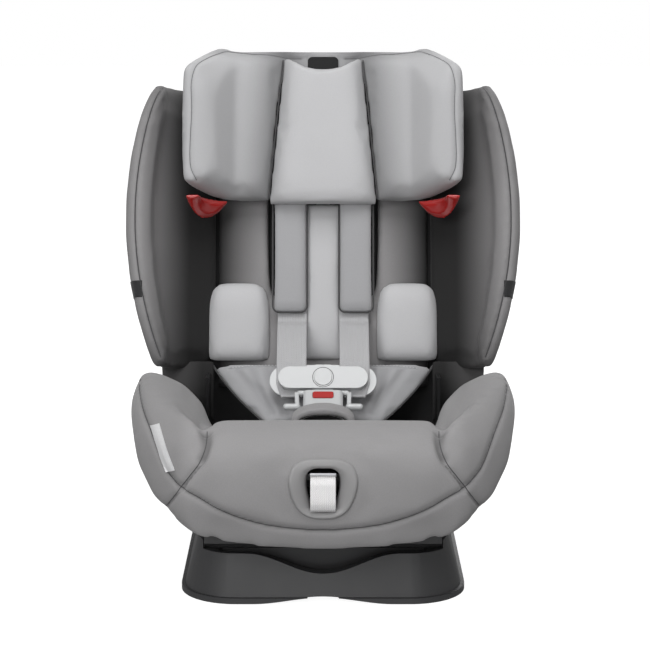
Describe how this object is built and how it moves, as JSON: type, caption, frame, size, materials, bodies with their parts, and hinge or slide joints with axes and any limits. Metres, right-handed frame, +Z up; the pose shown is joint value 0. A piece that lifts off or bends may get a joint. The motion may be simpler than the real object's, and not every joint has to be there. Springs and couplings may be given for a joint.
{
  "type": "convertible car seat",
  "caption": "Convertible child car seat: padded bucket that rocks on a low base to recline, sliding headrest with side wings, and a buckled five-point harness with chest clip.",
  "frame": {"origin": "on the flat underside of the base, under the middle of the seat", "axes": "+X to the right seen from the front, the seat faces -Y, +Z up"},
  "size_m": [0.4978, 0.5606, 0.6315],
  "materials": {
    "base_plastic": "moulded, fine grain",
    "dark_plastic": "moulded, fine grain",
    "black_plastic": "moulded, satin",
    "white_plastic": "satin",
    "red_plastic": "polished",
    "foot_rubber": "matt",
    "steel": "brushed",
    "bright_steel": "polished",
    "fabric_grey": "woven",
    "fabric_dark": "woven",
    "fabric_light": "knitted",
    "fabric_black": "knitted",
    "webbing": "woven webbing",
    "webbing_light": "woven webbing"
  },
  "bodies": {
    "base": {"base_housing": "base_plastic", "base_foot_pads": "foot_rubber", "recline_rail_left": "steel", "recline_rail_right": "steel", "recline_rack": "steel"},
    "seat": {"rocker_housing": "base_plastic", "guide_shoes": "black_plastic", "seat_pan": "dark_plastic", "back_wall": "dark_plastic", "hip_plates": "dark_plastic", "side_panels": "fabric_grey", "wing_shell_left": "fabric_dark", "wing_shell_right": "fabric_dark", "rear_cover": "dark_plastic", "seat_cushion": "fabric_grey", "nose_pad": "fabric_grey", "bolster_left": "fabric_grey", "bolster_right": "fabric_grey", "wing_cover_left": "fabric_dark", "wing_cover_right": "fabric_dark", "back_pad": "fabric_dark", "insert_side_pad_left": "fabric_light", "insert_side_pad_right": "fabric_light", "insert_seat_pad": "fabric_light", "insert_center_panel": "fabric_light", "headrest_guide_rods": "steel", "headrest_rack": "steel", "harness_strap_left": "webbing", "harness_strap_right": "webbing", "shoulder_pad_left": "fabric_light", "shoulder_pad_right": "fabric_light", "splitter_plate": "bright_steel", "central_strap": "webbing", "chest_clip_body": "white_plastic", "chest_clip_back": "white_plastic", "crotch_strap": "webbing", "crotch_anchor": "bright_steel", "crotch_pad": "fabric_grey", "buckle_housing": "white_plastic", "buckle_tongue_left": "white_plastic", "buckle_tongue_right": "white_plastic", "adjuster_bezel": "black_plastic", "adjuster_housing": "black_plastic", "adjuster_pin": "steel", "adjuster_strap": "webbing_light"},
    "headrest": {"headrest_carriage": "dark_plastic", "headrest_frame": "dark_plastic", "headrest_rim_cover": "fabric_light", "headrest_center_pad": "fabric_light", "headrest_wing_pad_left": "fabric_light", "headrest_wing_pad_right": "fabric_light", "side_guard_left": "red_plastic", "side_guard_right": "red_plastic"},
    "recline_handle": {"recline_handle": "black_plastic"},
    "recline_lock_pin": {"recline_lock_pin": "steel"},
    "headrest_release_handle": {"headrest_release_handle": "black_plastic"},
    "headrest_lock_bolt": {"headrest_lock_bolt": "steel"},
    "buckle_button": {"buckle_button": "red_plastic"},
    "chest_clip_button": {"chest_clip_button": "white_plastic"},
    "adjuster_lever": {"adjuster_lever": "steel"}
  },
  "joints": [
    {"name": "recline", "type": "hinge", "parent": "base", "child": "seat", "pos_m": [0, -0.06, 0.425], "axis": [-1, 0, 0], "range_deg": [0, 17.6]},
    {"name": "recline_pull", "type": "slide", "parent": "seat", "child": "recline_handle", "axis": [0, -1, 0], "range_m": [0, 0.012], "stiffness_N_per_m": 900, "springref_m": -0.003},
    {"name": "recline_lock", "type": "slide", "parent": "seat", "child": "recline_lock_pin", "axis": [0, 0, 1], "range_m": [0, 0.006]},
    {"name": "headrest_height", "type": "slide", "parent": "seat", "child": "headrest", "axis": [0, 0.2924, 0.9563], "range_m": [-0.099, 0]},
    {"name": "headrest_release", "type": "slide", "parent": "headrest", "child": "headrest_release_handle", "axis": [0, 0.2924, 0.9563], "range_m": [0, 0.01], "stiffness_N_per_m": 900, "springref_m": -0.003},
    {"name": "headrest_lock", "type": "slide", "parent": "headrest", "child": "headrest_lock_bolt", "axis": [0, -0.9563, 0.2924], "range_m": [0, 0.005]},
    {"name": "buckle_press", "type": "slide", "parent": "seat", "child": "buckle_button", "axis": [0, 0.5, -0.866], "range_m": [0, 0.0025], "stiffness_N_per_m": 6000, "springref_m": -0.001},
    {"name": "clip_press", "type": "slide", "parent": "seat", "child": "chest_clip_button", "axis": [0, 0.832, -0.5548], "range_m": [0, 0.0025], "stiffness_N_per_m": 3000, "springref_m": -0.001},
    {"name": "adjuster_press", "type": "hinge", "parent": "seat", "child": "adjuster_lever", "pos_m": [0, -0.222, 0.17], "axis": [1, 0, 0], "range_deg": [0, 12], "stiffness_Nm_per_rad": 2, "springref_deg": -2.86}
  ],
  "couplings": [
    {"joint": "recline_lock", "follows": "recline_pull", "ratio": 0.5},
    {"joint": "headrest_lock", "follows": "headrest_release", "ratio": 0.5}
  ]
}
